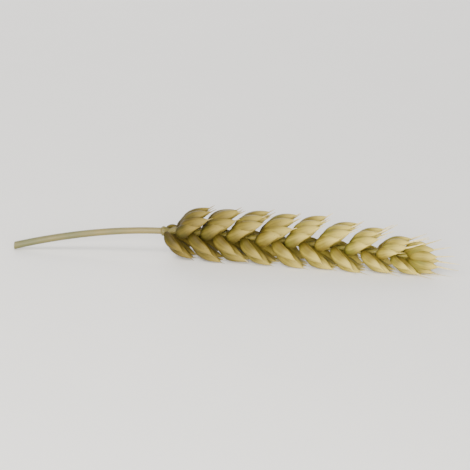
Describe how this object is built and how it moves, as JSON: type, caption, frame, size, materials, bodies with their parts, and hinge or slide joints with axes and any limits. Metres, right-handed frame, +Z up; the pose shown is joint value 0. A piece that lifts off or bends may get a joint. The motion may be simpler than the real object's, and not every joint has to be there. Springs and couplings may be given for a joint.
{
  "type": "wheat ear",
  "caption": "Ripe short-awned wheat ear on a short cut straw, lying on its side: two rows of keeled, overlapping hulls on a zigzag rachis.",
  "frame": {"origin": "on the surface that the ear lies on, under the middle of its bounding box", "axes": "+X along the ear, from the cut straw towards the tip; +Z up from the surface; -Y is the side that the picture shows"},
  "size_m": [0.1368, 0.0168, 0.0166],
  "materials": {
    "ripe_hulls": "dry papery hulls, pale greenish straw colour, faint silky sheen",
    "green_straw": "dry straw, grey green turning yellow, satin"
  },
  "bodies": {
    "root": {"head": "ripe_hulls", "straw": "green_straw"}
  },
  "joints": []
}
